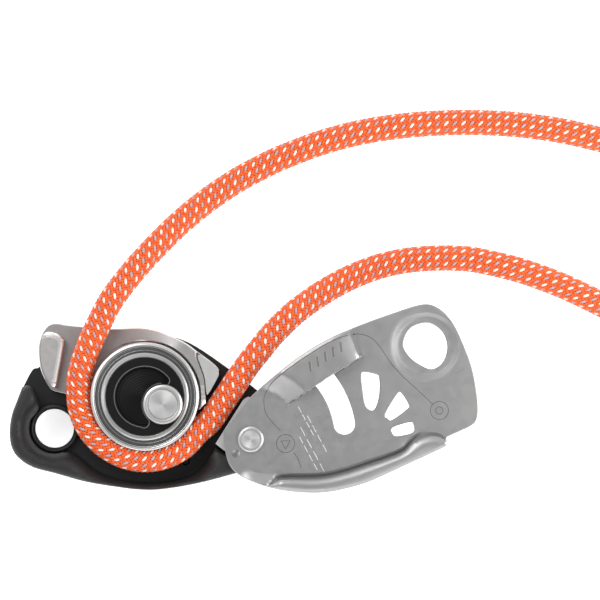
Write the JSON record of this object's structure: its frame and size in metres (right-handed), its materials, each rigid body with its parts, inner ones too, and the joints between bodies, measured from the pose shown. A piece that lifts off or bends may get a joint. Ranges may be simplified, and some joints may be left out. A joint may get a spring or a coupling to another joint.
{
  "type": "rope descender",
  "caption": "Cam-assisted rope descender and belay device, side plate swung open, orange rope led round its grooved wheel.",
  "frame": {"origin": "centre of the device's bounding box at the surface it lies on, rope left out", "axes": "+Z is the outer face of the swinging side plate, +X from the attachment hole towards the opened side plate"},
  "size_m": [0.237, 0.1443, 0.0386],
  "materials": {
    "black_anodised": "matte",
    "black_nylon": "matte",
    "black_rubber": "matte",
    "grey_anodised": "satin",
    "cast_steel": "satin",
    "bright_steel": "polished",
    "spring_steel": "satin",
    "rope_sheath": "braided",
    "end_sleeve": "matte"
  },
  "bodies": {
    "body": {"fixed_plate": "black_anodised", "channel_shell": "black_nylon", "attachment_ring": "black_nylon", "back_cover": "black_nylon", "cover_screw_1": "bright_steel", "cover_screw_2": "bright_steel", "cover_screw_3": "bright_steel", "insert_pin_1": "bright_steel", "insert_pin_2": "bright_steel", "wear_insert": "bright_steel", "axle_bush": "bright_steel", "pivot_rivet": "bright_steel", "pivot_spacer": "bright_steel", "pivot_washer": "bright_steel", "cam_return_spring": "spring_steel", "rope_in_channel": "rope_sheath", "rope_climber_strand": "rope_sheath", "rope_brake_strand": "rope_sheath", "climber_end_sleeve": "end_sleeve", "brake_end_sleeve": "end_sleeve"},
    "side_plate": {"moving_plate": "grey_anodised"},
    "cam": {"cam_body": "cast_steel", "cam_nose_pad": "bright_steel", "cam_axle": "bright_steel", "wheel_hub": "black_anodised", "bearing_inner_race": "bright_steel", "handle_crank": "spring_steel", "axle_clip": "spring_steel", "crank_washer": "bright_steel", "handle_rivet": "bright_steel", "handle_spring": "spring_steel"},
    "wheel": {"wheel_rim": "bright_steel", "bearing_seal": "black_rubber"},
    "bearing_cage": {"bearing_balls": "bright_steel"},
    "handle": {"handle_lever": "spring_steel", "handle_grip": "black_nylon"}
  },
  "joints": [
    {"name": "plate_swing", "type": "hinge", "parent": "body", "child": "side_plate", "pos_m": [0.0028, -0.0154, 0.032], "axis": [0, 0, 1], "range_deg": [0, 149]},
    {"name": "cam_swing", "type": "hinge", "parent": "body", "child": "cam", "pos_m": [-0.03018, -0.00227, 0.0165], "axis": [0, 0, 1], "range_deg": [-16, 0], "stiffness_Nm_per_rad": 0.05, "springref_deg": 11.46, "deforming": ["rope_in_channel", "cam_return_spring"]},
    {"name": "wheel_spin", "type": "hinge", "parent": "cam", "child": "wheel", "pos_m": [-0.03708, 0.00053, 0.024], "axis": [0, 0, 1], "continuous": true},
    {"name": "cage_spin", "type": "hinge", "parent": "cam", "child": "bearing_cage", "pos_m": [-0.03708, 0.00053, 0.024], "axis": [0, 0, 1], "continuous": true},
    {"name": "handle_fold", "type": "hinge", "parent": "cam", "child": "handle", "pos_m": [-0.05188, 0.01233, 0.003], "axis": [0, 0, 1], "range_deg": [0, 145], "stiffness_Nm_per_rad": 0.01, "springref_deg": -17.19, "deforming": ["handle_spring"]}
  ],
  "couplings": [
    {"joint": "cage_spin", "follows": "wheel_spin", "ratio": 0.534}
  ]
}
